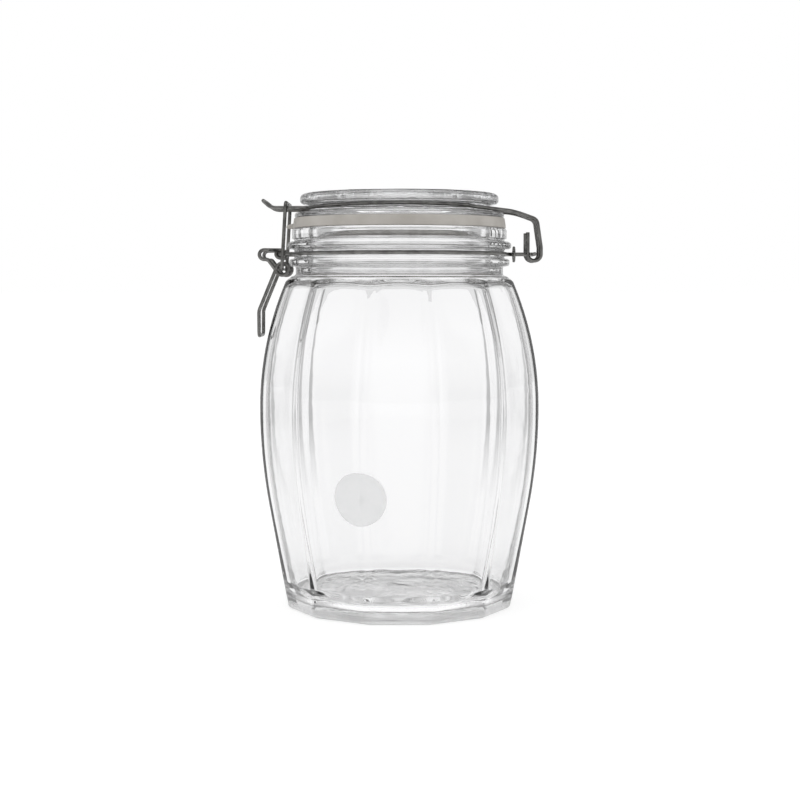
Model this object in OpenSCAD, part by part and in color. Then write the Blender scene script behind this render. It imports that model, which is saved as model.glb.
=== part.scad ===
// Clip-top glass storage jar: a faceted glass body and a glass lid, a flat
// seal ring between them and a bent-wire cage with an over-centre latch.
// Units are millimetres. +Z is up and the origin is the centre of the foot.
// The latch is on the -X side and the hinge on the +X side, so every joint
// axis runs along Y.

/* [Body] */
// Width across two opposite facets at the widest height
body_across = 129.4; // [124:0.2:136]
// Height of the widest section
widest_z = 94; // [88:1:104]
// Number of facets around the body
facet_count = 12; // [8:2:16]
// Radius of each facet's upright curve above the widest section
upper_curve_r = 150; // [144:1:165]
// Radius of each facet's upright curve below the widest section
lower_curve_r = 255; // [230:5:290]
// Slope of the straight facets near the foot, in degrees from upright
foot_slope = 10.2; // [9:0.2:12]
// Height where the facets end below the neck
shoulder_z = 155; // [154:0.2:157]
// Wall thickness at the middle of a facet
wall_t = 3.5; // [2.8:0.1:4.5]
// Thickness of the glass floor
floor_t = 3; // [2:0.5:9]
// Height of the hollow under the foot
kick_h = 2; // [1:0.5:5]
// Width of the flat ring that the jar stands on
foot_ring_w = 9; // [6:0.5:12]
// Size of the bevel round the foot
foot_bevel = 0.8; // [0.4:0.2:1.6]

/* [Neck] */
// Outer radius of the rim, which the lid, the seal and the wires follow
rim_r = 50.6; // [49.6:0.1:52]
// Width of the glass rim, from the mouth to its outside
rim_w = 7.4; // [6.6:0.1:8]
// Height of the rim above the shoulder
neck_h = 22.2; // [21.4:0.2:23]
// How far the neck stands in from the rim
neck_in = 1.7; // [1.1:0.1:3]
// Height of the band below the rim
rim_band_h = 5; // [4:0.2:5.6]
// How far the two flanges that hold the neck wire stand out from the rim
flange_out = 2.2; // [1.8:0.1:2.6]
// Height of each flange
flange_h = 3.6; // [3:0.1:4]
// Height of the groove between the flanges
groove_h = 4.4; // [3:0.1:4.8]

/* [Lid] */
// How far the lid's top disc stands in from the rim
lid_disc_in = 3.8; // [3:0.1:4.6]
// Thickness of the top disc
lid_disc_h = 5; // [4:0.2:6]
// Depth of the groove that the lid wire sits in
lid_groove_d = 4; // [3:0.1:4.4]
// Height of that groove
lid_groove_h = 4; // [3.6:0.1:4.6]
// How far the lid's lower flange stands in from the rim
lid_flange_in = 1.2; // [0.6:0.1:2]
// Thickness of the lower flange
lid_flange_h = 2.4; // [2:0.1:3]
// Gap between the lid's plug and the mouth
plug_gap = 1.4; // [1.2:0.1:1.8]
// Depth of the plug below the rim
plug_depth = 1.7; // [1:0.1:2.2]
// Wall thickness of the plug
plug_t = 4.4; // [3:0.2:6]

/* [Seal] */
// Thickness of the seal ring
seal_h = 4.9; // [4:0.1:5.6]
// How far the seal ring stands in from the rim
seal_in = 0.4; // [0:0.1:1.2]
// Gap between the seal and the lid's plug
seal_bore_gap = 0.4; // [0.3:0.1:0.8]
// Gap between the seal and the rim
seal_gap = 0.1; // [0.05:0.05:0.2]
// How far the pull tab stands out of the ring
tab_reach = 3.2; // [2:0.2:3.6]
// Width of the pull tab
tab_w = 10; // [8:0.5:14]
// Thickness of the pull tab
tab_t = 1.6; // [1:0.1:2.4]

/* [Wires] */
// Radius of the neck wire and of the lid wire
wire_r = 0.9; // [0.8:0.02:1]
// Radius of the latch wires
latch_wire_r = 0.85; // [0.75:0.02:0.95]
// Clearance between the neck wire and the groove that it sits in
wire_gap = 0.1; // [0.05:0.05:0.2]
// Running clearance of a wire eye on a pin
eye_gap = 0.08; // [0.04:0.01:0.1]

/* [Latch] */
// Distance of the lever's pivot bar outside the neck's flanges
pivot_out = 2.9; // [2.6:0.1:3.4]
// Half width of the neck wire's nose that carries the pivot bar
nose_half = 12.2; // [11.6:0.1:12.8]
// Lever eyes' distance from the middle plane
eye_half = 9.6; // [9:0.1:9.8]
// Coil centre, outward from the pivot bar
coil_in = 1.3; // [1.1:0.1:1.6]
// Coil centre, down from the pivot bar
coil_drop = 7.1; // [6.9:0.1:7.4]
// Radius of the coil's wire centre line
coil_r = 2.75; // [2.6:0.05:2.9]
// Coils' distance from the middle plane
coil_half = 12.4; // [12.2:0.1:12.8]
// Reach of the lever's hairpin beyond the pivot bar
hairpin_reach = 9.35; // [8.6:0.1:9.8]
// Radius of the hairpin's bend
hairpin_r = 2.2; // [1.8:0.05:2.4]
// Length of the lever's handle below the coils
handle_l = 31; // [26:0.5:38]
// Gap between the end of the handle and the body
handle_gap = 3.5; // [2:0.1:6]
// Half width of the handle at its end
handle_half = 11.6; // [10:0.2:12.6]
// Distance of the link's top bar inward from the pivot bar
hook_in = 3.1; // [2.7:0.1:3.4]
// Gap between the link's top bar and the lid wire's tongue
hook_gap = 0.6; // [0.5:0.05:0.7]
// Half width of the link
link_half = 15.4; // [15.2:0.1:16.5]
// Reach of the lid wire's tongue beyond the pivot bar
tongue_out = 7.7; // [7.2:0.1:8.2]
// Half width of the tongue
tongue_half = 11.6; // [10:0.2:12]
// Rise of the tongue's tip
tongue_rise = 3.4; // [2.6:0.1:3.8]

/* [Hinge] */
// Distance of the hinge pins outside the neck's flanges
hinge_out = 10.4; // [9.8:0.1:11.4]
// Radius of the lid wire's hooks under the pins
hook_r = 3.1; // [2.9:0.05:3.3]
// Hooks' distance from the middle plane
hook_half = 7; // [6.4:0.1:8]
// Length of a hinge pin beyond its hook
pin_over = 3; // [2:0.2:5]
// Height of the hooks' free tails above the pins
tail_h = 10.2; // [8:0.2:11]
// Outer diameter of the ring that ties the wire ends
tie_d = 7.6; // [6.6:0.1:8.2]
// Thickness of that ring
tie_t = 1.2; // [0.8:0.1:1.6]
// Distance of that ring outside the neck's flanges
tie_out = 1.3; // [1:0.1:2.6]

/* [Label] */
// Diameter of the blank round sticker
label_d = 23.6; // [18:0.2:28]
// Height of the sticker's centre
label_z = 57.8; // [50:0.2:66]
// Thickness of the sticker
label_t = 0.2; // [0.1:0.05:0.3]

/* [Hidden] */
$fn = 96;

facet_step = 360 / facet_count;
body_apothem = body_across / 2;
reach = 2 * body_across;

// Where the lower curve meets the straight facets of the foot. The straights
// stand in by knit, so that they cross the curves instead of touching them.
knit = 0.02;
knee_lap = 6;
knee_z = widest_z - lower_curve_r * sin(foot_slope);
knee_a = body_apothem - lower_curve_r * (1 - cos(foot_slope));
foot_a = knee_a - knee_z * tan(foot_slope) - knit / cos(foot_slope);

// Radii and heights of the neck's bands, from the rim
mouth_r = rim_r - rim_w;
neck_r = rim_r - neck_in;
flange_r = rim_r + flange_out;
rim_z = shoulder_z + neck_h;
notch_h = 1.2;
notch_d = 1;
top_flange_z = rim_z - rim_band_h - notch_h - flange_h;
groove_z = top_flange_z - groove_h;
low_flange_z = groove_z - flange_h;
low_flange_in = 0.8;
low_flange_r = flange_r - low_flange_in;
groove_floor_r = rim_r - notch_d;
flange_edge = 1.5;
rim_edge = 0.9;
lap = 1;

// The glass inside
cavity_z = kick_h + floor_t;
cavity_corner = 6;
ceiling_drop = 2;
ceiling_z = shoulder_z - ceiling_drop;
ceiling_slope = 42.5;
mouth_bevel = 0.8;
kick_r = foot_a - foot_ring_w;
kick_ball_r = (kick_r * kick_r + kick_h * kick_h) / (2 * kick_h);
shoulder_lip = 0.8;
shoulder_slope = 29;
shoulder_r = neck_r + shoulder_lip;

// Radii and heights of the seal and the lid, from the rim
seal_r = rim_r - seal_in;
lid_flange_r = rim_r - lid_flange_in;
lid_disc_r = rim_r - lid_disc_in;
lid_groove_r = lid_disc_r - lid_groove_d;
seal_z = rim_z + seal_gap;
seal_draft = 0.6;
lid_flange_z = seal_z + seal_h;
lid_groove_z = lid_flange_z + lid_flange_h;
lid_disc_z = lid_groove_z + lid_groove_h;
lid_top_z = lid_disc_z + lid_disc_h;
lid_edge = 1.8;
lid_flange_edge = 0.9;
plug_r = mouth_r - plug_gap;
plug_z = rim_z - plug_depth;
seal_bore_r = plug_r + seal_bore_gap;
under_dish = 3;
top_dish = 1.1;
top_edge_w = 7;
top_dish_r = lid_disc_r - top_edge_w;

// Joints between the straight runs and the bends of the wires
swell = 1.012;
joint_l = 0.1;

// Centre lines of the neck wire and the lid wire
ring_r = groove_floor_r + wire_gap + wire_r;
wire_z = groove_z + groove_h / 2;
lid_ring_r = lid_groove_r + wire_gap + wire_r;
lid_wire_z = lid_groove_z + lid_groove_h / 2;
fillet_r = 3;
nose_bend = 1.6;

// Distance of a facet from the axis at a height z above the widest section
function facet_r(z) =
    body_apothem - upper_curve_r + sqrt(pow(upper_curve_r, 2) - pow(z - widest_z, 2));

// Latch points in the XZ plane, as [x, z]
pivot_x = flange_r + pivot_out;
hook_x = pivot_x - hook_in;
tongue_x = pivot_x + tongue_out;
pivot = [-pivot_x, wire_z];
coil = [coil_in - pivot_x, wire_z - coil_drop];
eye_r = wire_r + eye_gap + latch_wire_r;
eye_turn = 310;
hook = [-hook_x, lid_wire_z + wire_r + latch_wire_r + hook_gap];
diag_angle = -53.7;
diag_dir = [cos(diag_angle), sin(diag_angle)];
coil_start = coil + coil_r * [diag_dir[1], -diag_dir[0]];
foot_drop = 19.4;
grip_z = coil[1] - handle_l;
leg_foot = [-facet_r(grip_z) - handle_gap - latch_wire_r, coil[1] - foot_drop];
leg_line = leg_foot - coil;
leg_angle = 360 + atan2(leg_line[1], leg_line[0]) + asin(coil_r / norm(leg_line));
leg_dir = [cos(leg_angle), sin(leg_angle)];
coil_end = coil + coil_r * [leg_dir[1], -leg_dir[0]];
eye_top_z = wire_z + eye_r;
hairpin_x = -pivot_x - hairpin_reach;
hairpin_z = eye_top_z - 2 * hairpin_r;
hairpin_out = coil_start + diag_dir * (hairpin_z - coil_start[1]) / diag_dir[1];
eye_lead = 1.2;
eye_lead_bend = 3;
eye_lead_end = 5.6;
hairpin_out_bend = 1.1;
leg_bend = 6;
grip_bend = 2.6;
link_bend = 2.4;
link_pin_bend = 1.4;
link_pin_over = 1.4;
link_pin_y = coil_half - latch_wire_r - link_pin_over;

// Hinge points
hinge_x = flange_r + hinge_out;
tie_x = flange_r + tie_out;
hinge = [hinge_x, wire_z];
pin_end = hook_half + pin_over;
rod_gap = 0.03;
rod_half = wire_r + rod_gap;
pin_bend = 1.8;
tie_bore_r = rod_half + wire_r + rod_gap;
arm_out = 1.2;
arm_drop = 1.4;
arm_x = flange_r + arm_out;
arm_z = lid_wire_z - arm_drop;
arm_lead = 1.5;
arm_lead_bend = 12;
leave_angle = atan2(hook_half, arm_x) + acos(lid_ring_r / norm([arm_x, hook_half]));
leave = lid_ring_r * [cos(leave_angle), sin(leave_angle)];
leave_dir = [sin(leave_angle), -cos(leave_angle)];
corner_in = 1.9;
corner_x = hinge_x + hook_r - corner_in;
corner_drop = 5.2;
corner_z = lid_wire_z - corner_drop;
corner_bend = 3.4;
calf_h = 3.2;
calf_z = wire_z + calf_h;
calf_bend = 8;
tongue_run = 3.8;
tongue_knee_x = tongue_x - tongue_run;
tongue_knee_bend = 3;
tongue_bend = 2.4;

// ---- wire helpers ----
// A bend is a hair thicker than the straight runs, and the runs reach a
// little way into it, so that every joint is one clean cut.

function unit(v) = v / norm(v);
function turn(a, b, c) = acos(max(-1, min(1, unit(b - a) * unit(c - b))));
function trim(a, b, c, r) = r * tan(turn(a, b, c) / 2);
function at(p, y) = [p[0], y, p[1]];
function middle(p) = [p[0], 0, p[2]];

// Straight round bar between two points
module bar(a, b, r) {
    d = b - a;
    length = norm(d);
    translate(a)
        rotate([0, acos(d[2] / length), atan2(d[1], d[0])])
            cylinder(h = length, r = r);
}

// Round bend of radius bend_r at corner b of the path a, b, c
module bend(a, b, c, bend_r, r) {
    u = unit(b - a);
    v = unit(c - b);
    n = unit(v - u * (u * v));
    w = cross(u, n);
    centre = b - u * trim(a, b, c, bend_r) + n * bend_r;
    multmatrix([[-n[0], u[0], w[0], centre[0]],
                [-n[1], u[1], w[1], centre[1]],
                [-n[2], u[2], w[2], centre[2]],
                [0, 0, 0, 1]])
        rotate_extrude(angle = turn(a, b, c))
            translate([bend_r, 0])
                circle(r = r * swell);
}

// Wire of radius r through the corners p, with bend radius b[i] at corner i.
// It reaches on into an arc by reach_in at its start and reach_out at its end.
module bent_wire(p, b, r, reach_in = 0, reach_out = 0) {
    last = len(p) - 1;
    for (i = [0 : last - 1]) {
        u = unit(p[i + 1] - p[i]);
        cut_a = i == 0 ? -reach_in : trim(p[i - 1], p[i], p[i + 1], b[i]) - joint_l;
        cut_b = i == last - 1 ? -reach_out : trim(p[i], p[i + 1], p[i + 2], b[i + 1]) - joint_l;
        bar(p[i] + u * cut_a, p[i + 1] - u * cut_b, r);
    }
    for (i = [1 : 1 : last - 1])
        bend(p[i - 1], p[i], p[i + 1], b[i], r);
}

// Two mirrored bends at the end of the run from a to the corner b, and the
// straight bar that joins them across the middle plane
module cross_bar(a, b, bend_r, r) {
    half = abs(b[1]) - trim(a, b, middle(b), bend_r) + joint_l;
    pair() bend(a, b, middle(b), bend_r, r);
    bar([b[0], -half, b[2]], [b[0], half, b[2]], r);
}

// Straight run from a to the corner b of a cross_bar
module run_to_corner(a, b, bend_r, r, cut_a) {
    u = unit(b - a);
    bar(a + u * cut_a, b - u * (trim(a, b, middle(b), bend_r) - joint_l), r);
}

// Arc of wire in a level plane, from angle a0 to angle a1
module level_arc(c, z, arc_r, a0, a1, r) {
    translate([c[0], c[1], z])
        rotate([0, 0, a0])
            rotate_extrude(angle = a1 - a0)
                translate([arc_r, 0])
                    circle(r = r);
}

// Arc of wire in an upright plane at the depth y
module upright_arc(c, y, arc_r, a0, a1, r) {
    translate(at(c, y))
        rotate([90, 0, 0])
            rotate([0, 0, a0])
                rotate_extrude(angle = a1 - a0)
                    translate([arc_r, 0])
                        circle(r = r);
}

// Centre of the fillet between a ring about the axis and a straight run
// along X at the depth y, on the side that faces s
function fillet_c(loop_r, y, s) =
    [s * sqrt(pow(loop_r + fillet_r, 2) - pow(y + fillet_r, 2)), -y - fillet_r];
function polar(c) = atan2(c[1], c[0]);

// A wire shape and its mirror image across the middle plane
module pair() {
    children();
    mirror([0, 1, 0]) children();
}

// ---- glass ----

// Half of an upright section with edge radius e: a band of a turned profile
module band(r, z, h, e) {
    translate([0, z]) square([r - e, h]);
    translate([0, z + e]) square([r, h - 2 * e]);
    translate([r - e, z + e]) circle(r = e);
    translate([r - e, z + h - e]) circle(r = e);
}

// Lens between two mirrored circles whose sides stand at a, from z0 to z1
module lens(a, curve_r, z0, z1) {
    intersection() {
        translate([a - curve_r, widest_z]) circle(r = curve_r);
        translate([curve_r - a, widest_z]) circle(r = curve_r);
        translate([-a, z0]) square([2 * a, z1 - z0]);
    }
}

// Upright section through a pair of opposite facets, grown by g
module facet_section(g) {
    foot = foot_a + g / cos(foot_slope);
    knee = foot + knee_z * tan(foot_slope);
    lens(body_apothem + g, upper_curve_r + g, widest_z, shoulder_z);
    lens(body_apothem + g, lower_curve_r + g, knee_z - knee_lap, widest_z);
    polygon([[foot_bevel - foot, 0],
             [foot - foot_bevel, 0],
             [foot + foot_bevel * tan(foot_slope), foot_bevel],
             [knee, knee_z],
             [-knee, knee_z],
             [-foot - foot_bevel * tan(foot_slope), foot_bevel]]);
}

// Faceted barrel, grown by g
module barrel(g) {
    intersection_for (i = [0 : facet_count / 2 - 1])
        rotate([90, 0, i * facet_step])
            linear_extrude(height = reach, center = true)
                facet_section(g);
}

// Cone that slopes the shoulder
module shoulder_cone() {
    cylinder(h = shoulder_z, r1 = shoulder_r + shoulder_z / tan(shoulder_slope), r2 = shoulder_r);
}

module neck_section() {
    translate([0, ceiling_z]) square([neck_r, low_flange_z + lap - ceiling_z]);
    band(low_flange_r, low_flange_z, flange_h, flange_edge);
    translate([0, groove_z - lap]) square([groove_floor_r, groove_h + 2 * lap]);
    band(flange_r, top_flange_z, flange_h, flange_edge);
    translate([0, top_flange_z + flange_h - lap]) square([groove_floor_r, notch_h + 2 * lap]);
    band(rim_r, rim_z - rim_band_h, rim_band_h, rim_edge);
}

// Inside of the glass: the facets' curves moved in by the wall, under a
// sloping ceiling, with the mouth above it
module cavity_section() {
    inner_a = body_apothem - wall_t;
    slope_r = (wall_t - knit) / cos(foot_slope);
    low_z = cavity_z + cavity_corner;
    low_c = foot_a + low_z * tan(foot_slope) - slope_r - cavity_corner / cos(foot_slope);
    touch_z = low_z - cavity_corner * sin(foot_slope);
    side_a = foot_a - wall_t / cos(foot_slope);
    side_low = side_a + touch_z * tan(foot_slope);
    side_high = side_a + knee_z * tan(foot_slope);
    intersection() {
        union() {
            lens(inner_a, upper_curve_r - wall_t, widest_z, shoulder_z);
            lens(inner_a, lower_curve_r - wall_t, knee_z - knee_lap, widest_z);
        }
        polygon([[0, 0],
                 [body_apothem, 0],
                 [body_apothem, ceiling_z - (body_apothem - mouth_r) * tan(ceiling_slope)],
                 [mouth_r, ceiling_z],
                 [0, ceiling_z]]);
    }
    polygon([[0, touch_z], [side_low, touch_z], [side_high, knee_z], [0, knee_z]]);
    translate([0, cavity_z]) square([low_c, cavity_corner]);
    translate([low_c, low_z]) circle(r = cavity_corner);
    polygon([[0, ceiling_z - lap],
             [mouth_r, ceiling_z - lap],
             [mouth_r, rim_z - mouth_bevel],
             [mouth_r + mouth_bevel + lap, rim_z + lap],
             [0, rim_z + lap]]);
}

module glass_jar() {
    color([0.82, 0.87, 0.86, 0.4])
        difference() {
            union() {
                intersection() {
                    barrel(0);
                    shoulder_cone();
                }
                rotate_extrude() neck_section();
            }
            rotate_extrude() cavity_section();
            translate([0, 0, kick_h - kick_ball_r]) sphere(r = kick_ball_r);
        }
}

module round_label() {
    color([0.93, 0.93, 0.94])
        intersection() {
            difference() {
                barrel(label_t);
                barrel(0);
            }
            translate([0, 0, label_z])
                rotate([90, 0, -facet_step / 2])
                    cylinder(h = reach, d = label_d);
        }
}

module lid_section() {
    band(lid_disc_r, lid_disc_z, lid_disc_h, lid_edge);
    translate([0, lid_groove_z - lap]) square([lid_groove_r, lid_groove_h + 2 * lap]);
    band(lid_flange_r, lid_flange_z, lid_flange_h, lid_flange_edge);
    translate([0, plug_z]) square([plug_r, lid_flange_z + lap - plug_z]);
}

module glass_lid() {
    hollow_r = plug_r - plug_t;
    hollow_h = lid_flange_z + under_dish - plug_z;
    color([0.8, 0.86, 0.85, 0.5])
        difference() {
            rotate_extrude() lid_section();
            translate([0, 0, plug_z]) cylinder(h = hollow_h, r = hollow_r);
            translate([0, 0, lid_top_z - top_dish]) cylinder(h = top_dish, r = top_dish_r);
        }
}

module seal_ring() {
    color([0.66, 0.62, 0.57]) {
        difference() {
            union() {
                translate([0, 0, seal_z]) cylinder(h = seal_h, r1 = seal_r, r2 = seal_r - seal_draft);
                translate([-seal_r - tab_reach + tab_w / 2, 0, seal_z]) cylinder(h = tab_t, d = tab_w);
                translate([-seal_r, -tab_w / 2, seal_z]) cube([tab_w / 2 + lap, tab_w, tab_t]);
            }
            translate([0, 0, seal_z]) cylinder(h = seal_h, r = seal_bore_r);
        }
    }
}

// ---- wires on the jar ----

// Ring in the neck groove, with the nose that carries the lever on one side
// and two ends that run back to the hinge pins on the other
module neck_wire() {
    back = fillet_c(ring_r, rod_half, 1);
    front = fillet_c(ring_r, nose_half, -1);
    over = joint_l / ring_r * 180 / PI;
    start = [front[0], -nose_half, wire_z];
    corner = at(pivot, -nose_half);
    color([0.42, 0.42, 0.43]) {
        pair() {
            bent_wire([at(hinge, -pin_end), at(hinge, -rod_half), [back[0], -rod_half, wire_z]],
                      [0, pin_bend, 0], wire_r, 0, joint_l);
            level_arc(back, wire_z, fillet_r, 90, polar(back) + 180, wire_r * swell);
            level_arc([0, 0], wire_z, ring_r, polar(front) - over, polar(back) + over, wire_r);
            level_arc(front, wire_z, fillet_r, polar(front) + 180, 90, wire_r * swell);
            run_to_corner(start, corner, nose_bend, wire_r, -joint_l);
        }
        cross_bar(start, corner, nose_bend, wire_r);
    }
}

module tie_ring() {
    color([0.5, 0.5, 0.51])
        translate([tie_x - tie_t / 2, 0, wire_z])
            rotate([0, 90, 0])
                difference() {
                    cylinder(h = tie_t, d = tie_d);
                    cylinder(h = tie_t, r = tie_bore_r);
                }
}

// ---- wires on the lid ----

// Loop round the lid's groove, with a turned-up tongue for the latch on one
// side and two arms with hooks under the hinge pins on the other
module lid_wire() {
    front = fillet_c(lid_ring_r, tongue_half, -1);
    lead = leave + arm_lead * leave_dir;
    over = joint_l / lid_ring_r * 180 / PI;
    y = -hook_half;
    start = [front[0], -tongue_half, lid_wire_z];
    knee = [-tongue_knee_x, -tongue_half, lid_wire_z];
    tip = [-tongue_x, -tongue_half, lid_wire_z + tongue_rise];
    knee_cut = trim(start, knee, tip, tongue_knee_bend) - joint_l;
    color([0.42, 0.42, 0.43]) {
        pair() {
            bar([hinge_x - hook_r, y, wire_z + tail_h], [hinge_x - hook_r, y, wire_z - joint_l], wire_r);
            upright_arc(hinge, y, hook_r, 180, 360, wire_r * swell);
            bent_wire([[hinge_x + hook_r, y, wire_z],
                       [hinge_x + hook_r, y, calf_z],
                       [corner_x, y, corner_z],
                       [arm_x, y, arm_z],
                       [lead[0], -lead[1], lid_wire_z],
                       [leave[0], -leave[1], lid_wire_z]],
                      [0, calf_bend, corner_bend, arm_lead_bend, arm_lead_bend, 0],
                      wire_r, joint_l, joint_l);
            level_arc([0, 0], lid_wire_z, lid_ring_r, polar(front) - over, -leave_angle, wire_r * swell);
            level_arc(front, lid_wire_z, fillet_r, polar(front) + 180, 90, wire_r * swell * swell);
            bar(start + [joint_l, 0, 0], knee + [knee_cut, 0, 0], wire_r);
            bend(start, knee, tip, tongue_knee_bend, wire_r);
            run_to_corner(knee, tip, tongue_bend, wire_r, knee_cut);
        }
        cross_bar(knee, tip, tongue_bend, wire_r);
    }
}

// ---- latch ----

// Eyes on the pivot bar, hairpins, coils for the link and the handle loop
module latch_lever() {
    y = -coil_half;
    start = [pivot[0], eye_top_z];
    bow = [hairpin_x + hairpin_r, eye_top_z - hairpin_r];
    corner = [leg_foot[0], -handle_half, grip_z];
    leg_cut = trim(at(coil_end, y), at(leg_foot, y), corner, leg_bend) - joint_l;
    color([0.46, 0.46, 0.47]) {
        pair() {
            upright_arc(pivot, -eye_half, eye_r, 90 - eye_turn, 90, latch_wire_r * swell);
            bent_wire([at(start, -eye_half),
                       at(start - [eye_lead, 0], -eye_half),
                       at(start - [eye_lead_end, 0], y),
                       [bow[0], y, eye_top_z]],
                      [0, eye_lead_bend, eye_lead_bend, 0], latch_wire_r, joint_l, joint_l);
            upright_arc(bow, y, hairpin_r, 90, 270, latch_wire_r * swell);
            bent_wire([[bow[0], y, hairpin_z], at(hairpin_out, y), at(coil_start, y)],
                      [0, hairpin_out_bend, 0], latch_wire_r, joint_l, joint_l);
            upright_arc(coil, y, coil_r, diag_angle - 90, leg_angle - 90, latch_wire_r * swell);
            bar(at(coil_end - leg_dir * joint_l, y), at(leg_foot - leg_dir * leg_cut, y), latch_wire_r);
            bend(at(coil_end, y), at(leg_foot, y), corner, leg_bend, latch_wire_r);
            run_to_corner(at(leg_foot, y), corner, grip_bend, latch_wire_r, leg_cut);
        }
        cross_bar(at(leg_foot, y), corner, grip_bend, latch_wire_r);
    }
}

// Frame that hooks over the lid wire's tongue, with its ends in the coils
module latch_link() {
    top = at(hook, -link_half);
    foot = at(coil, -link_half);
    pin = at(coil, -link_pin_y);
    top_cut = trim(middle(top), top, foot, link_bend) - joint_l;
    foot_cut = trim(top, foot, pin, link_pin_bend) - joint_l;
    run = unit(foot - top);
    color([0.46, 0.46, 0.47]) {
        pair() {
            bar(top + run * top_cut, foot - run * foot_cut, latch_wire_r);
            bend(top, foot, pin, link_pin_bend, latch_wire_r);
            bar(foot + [0, foot_cut, 0], pin, latch_wire_r);
        }
        cross_bar(foot, top, link_bend, latch_wire_r);
    }
}

glass_jar();
neck_wire();
tie_ring();
round_label();
glass_lid();
seal_ring();
lid_wire();
latch_lever();
latch_link();
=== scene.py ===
import math

import bpy
import numpy as np
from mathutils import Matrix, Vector


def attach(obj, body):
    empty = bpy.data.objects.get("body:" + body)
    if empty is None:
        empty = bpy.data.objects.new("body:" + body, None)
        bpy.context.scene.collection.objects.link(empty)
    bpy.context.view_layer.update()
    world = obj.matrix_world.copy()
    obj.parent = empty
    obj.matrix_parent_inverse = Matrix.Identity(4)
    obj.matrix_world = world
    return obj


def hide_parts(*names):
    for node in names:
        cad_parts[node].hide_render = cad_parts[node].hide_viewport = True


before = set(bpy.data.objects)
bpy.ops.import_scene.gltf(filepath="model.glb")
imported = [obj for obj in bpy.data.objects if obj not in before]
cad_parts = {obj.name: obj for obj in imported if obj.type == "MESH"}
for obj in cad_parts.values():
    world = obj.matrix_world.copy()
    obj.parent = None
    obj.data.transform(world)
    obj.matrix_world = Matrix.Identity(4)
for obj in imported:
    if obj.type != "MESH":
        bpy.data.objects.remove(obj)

# A clip-top glass jar: faceted glass body, glass lid, rubber seal and a wire
# cage with its latch. Shapes are in millimetres, and materials, lamps and the
# camera in metres.
MM = 0.001
TAU = 2 * math.pi
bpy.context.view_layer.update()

# ---- sizes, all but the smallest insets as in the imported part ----
# Barrel
FACETS = 12
STEP = TAU / FACETS
APOTHEM, WIDEST_Z = 64.7, 94.0
UPPER_R, LOWER_R = 150.0, 255.0
FOOT_SLOPE = math.radians(10.2)
KNEE_Z = WIDEST_Z - LOWER_R * math.sin(FOOT_SLOPE)
FOOT_A = APOTHEM - LOWER_R * (1 - math.cos(FOOT_SLOPE)) - KNEE_Z * math.tan(FOOT_SLOPE)
SHOULDER_Z, SHOULDER_R, SHOULDER_RUN = 155.0, 50.2, 1.8
WALL, FLOOR_T, KICK_H = 3.5, 3.0, 2.0
RING_W, BEVEL, INNER_CORNER = 9.0, 0.8, 6.0
# Neck, from the rim down
RIM_R, RIM_Z = 50.6, 177.2
MOUTH_R = RIM_R - 7.4
NECK_R = RIM_R - 1.7
GROOVE_R = RIM_R - 1.0
FLANGE_R = RIM_R + 2.2
LOW_FLANGE_R = FLANGE_R - 0.8
RIM_BAND_Z = RIM_Z - 5.0
FLANGE_TOP = RIM_BAND_Z - 1.2
FLANGE_FOOT = FLANGE_TOP - 3.6
LOW_FLANGE_TOP = FLANGE_FOOT - 4.4
LOW_FLANGE_FOOT = LOW_FLANGE_TOP - 3.6
# Lid and seal, from the rim up
LID_FOOT = RIM_Z + 5.0
PLUG_R, PLUG_BORE, PLUG_Z = MOUTH_R - 1.4, MOUTH_R - 5.8, RIM_Z - 1.6
LID_FLANGE_R, LID_FLANGE_TOP = RIM_R - 1.2, LID_FOOT + 2.4
DISC_R, DISC_FOOT = RIM_R - 3.8, LID_FLANGE_TOP + 4.0
LID_GROOVE_R = DISC_R - 4.0
LID_TOP = DISC_FOOT + 5.0
SEAL_FOOT, SEAL_TOP, TAB_TOP = RIM_Z + 0.12, LID_FOOT - 0.05, RIM_Z + 1.7
SEAL_R, SEAL_BORE = RIM_R - 0.45, MOUTH_R - 1.0
TAB_CENTRE, TAB_HALF = 48.4, 5.0
# Wires
WIRE_R, LATCH_R, WIRE_GAP, EYE_GAP = 0.9, 0.85, 0.1, 0.08
WIRE_Z = (LOW_FLANGE_TOP + FLANGE_FOOT) / 2
LID_WIRE_Z = (LID_FLANGE_TOP + DISC_FOOT) / 2
NECK_RING_R = GROOVE_R + WIRE_GAP + WIRE_R
LID_RING_R = LID_GROOVE_R + WIRE_GAP + WIRE_R
FILLET = 3.0
PIVOT_X, HINGE_X = -FLANGE_R - 2.9, FLANGE_R + 10.4
NOSE_HALF, EYE_HALF, COIL_HALF, GRIP_HALF = 12.2, 9.6, 12.4, 11.6
LINK_HALF, TONGUE_HALF, HOOK_HALF = 15.4, 11.6, 7.0
COIL_R, COIL_IN, COIL_DROP = 2.75, 1.3, 7.1
HAIRPIN_R, HAIRPIN_REACH = 2.2, 9.35
HANDLE_L, HANDLE_GAP, LEG_DROP = 31.0, 3.5, 19.4
LINK_HOOK_IN, LINK_HOOK_GAP = 3.1, 0.6
TONGUE_OUT, TONGUE_RISE = 7.7, 3.4
HOOK_R, TAIL_H = 3.1, 10.2
# Sticker
LABEL_R, LABEL_Z, LABEL_TURN = 12.0, 57.0, -math.pi / 2 - STEP / 2 - 0.02

# ---- how finely the skins are drawn ----
COLUMNS = FACETS * 32
CRISP, INNER_CRISP = 190.0, 70.0


# ---- mesh helpers ----
def new_object(name, verts, faces):
    mesh = bpy.data.meshes.new(name)
    mesh.from_pydata([tuple(v) for v in verts], [], [tuple(f) for f in faces])
    mesh.polygons.foreach_set("use_smooth", [True] * len(mesh.polygons))
    mesh.update()
    obj = bpy.data.objects.new(name, mesh)
    bpy.context.scene.collection.objects.link(obj)
    return obj


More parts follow.
